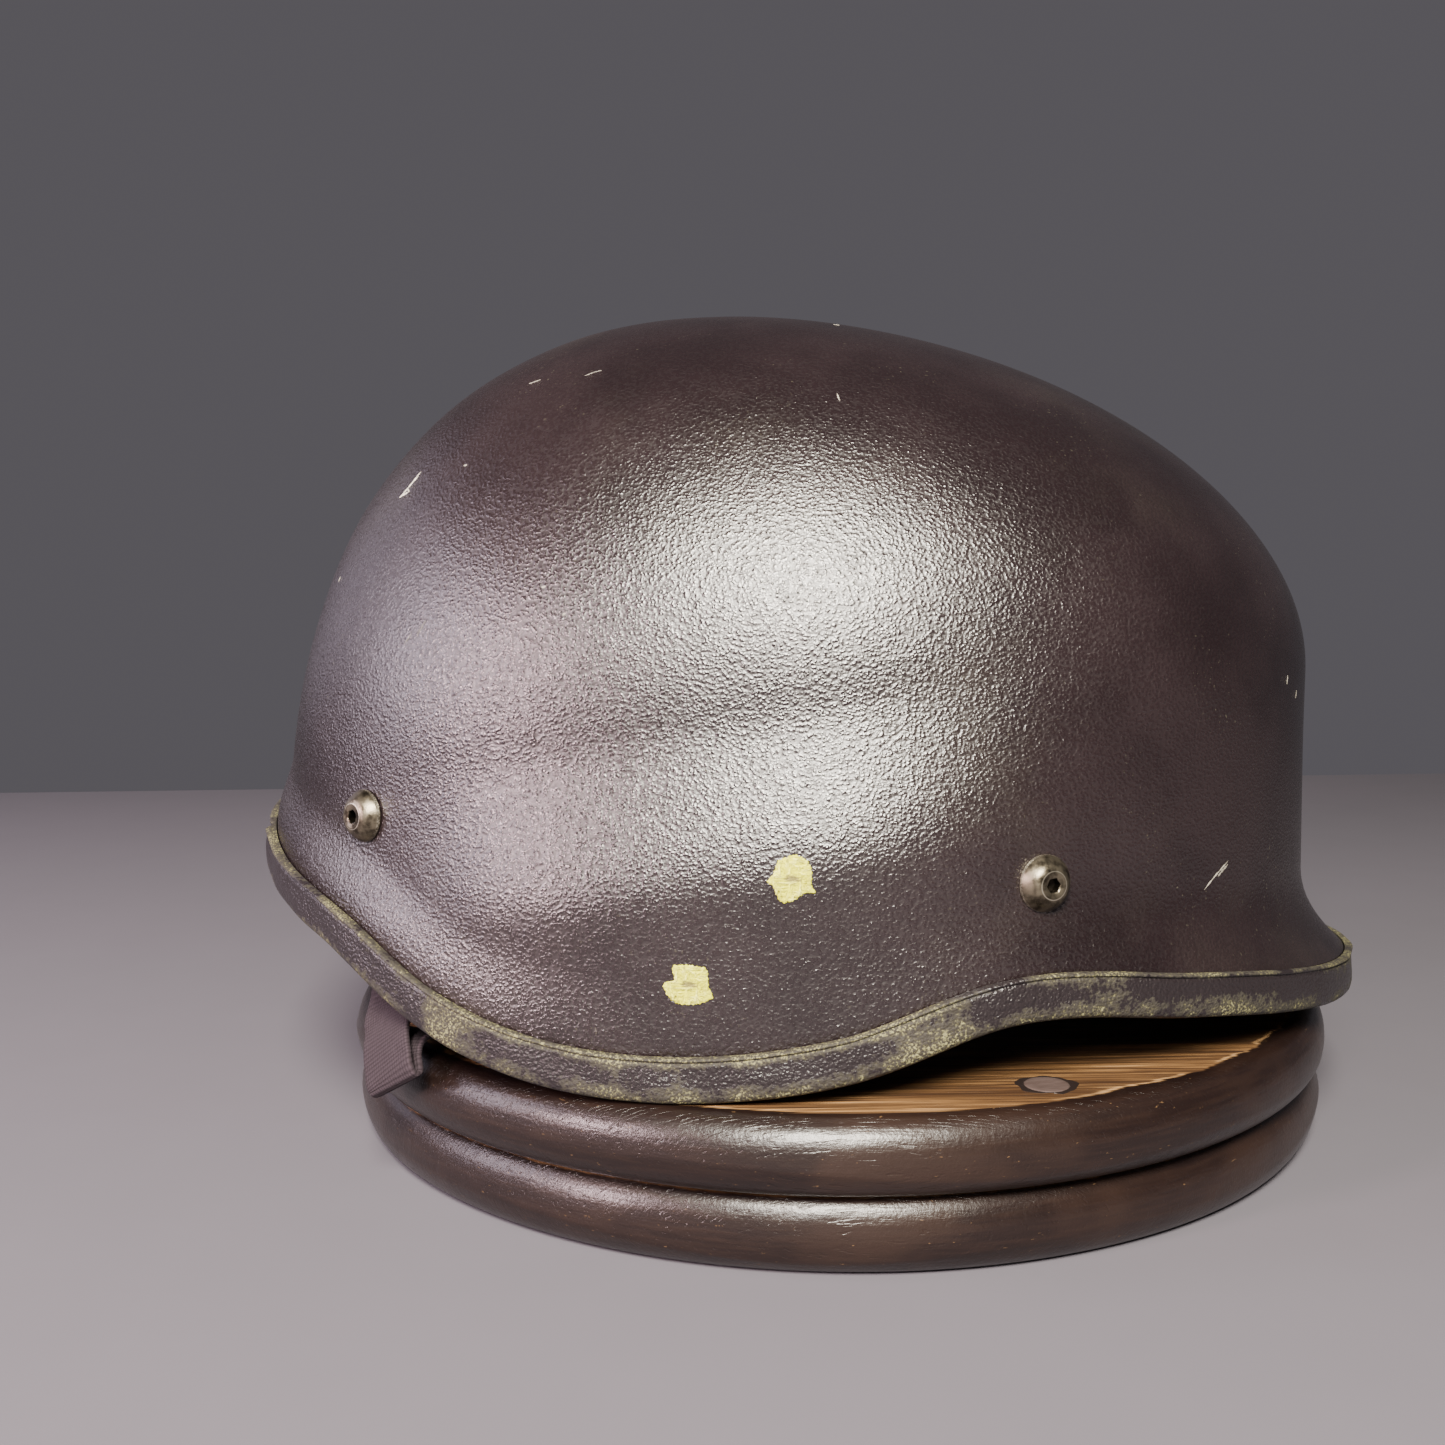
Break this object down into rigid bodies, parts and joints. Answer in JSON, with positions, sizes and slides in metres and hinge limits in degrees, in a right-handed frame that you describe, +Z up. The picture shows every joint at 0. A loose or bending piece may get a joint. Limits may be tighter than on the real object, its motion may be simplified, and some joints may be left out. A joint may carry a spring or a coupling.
{
  "type": "ballistic helmet on a round wooden stand",
  "caption": "Ballistic helmet with a rubber edge trim, bolts and a folded chin strap, resting tipped back on two stacked round wooden boards.",
  "frame": {"origin": "centre of the lower board's underside", "axes": "-X towards the front of the helmet, -Y towards the side that the picture shows, +Z up"},
  "size_m": [0.2765, 0.2539, 0.2014],
  "materials": {
    "shell_paint": "near-black satin textured paint with small scratches and two bare yellow patches",
    "trim_rubber": "black rubber channel with mottled dusty residue",
    "bolt_steel": "worn grey-brass steel with bright edges",
    "strap_webbing": "black ribbed webbing",
    "stained_wood": "dark brown satin stain with grain",
    "dark_wood": "dark stained plug"
  },
  "bodies": {
    "root": {"helmet_shell": "shell_paint", "edge_trim": "trim_rubber", "bolt_front_near": "bolt_steel", "bolt_rear_near": "bolt_steel", "bolt_front_far": "bolt_steel", "bolt_rear_far": "bolt_steel", "chin_strap": "strap_webbing", "stand_upper_board": "stained_wood", "stand_lower_board": "stained_wood", "stand_plug": "dark_wood"}
  },
  "joints": []
}
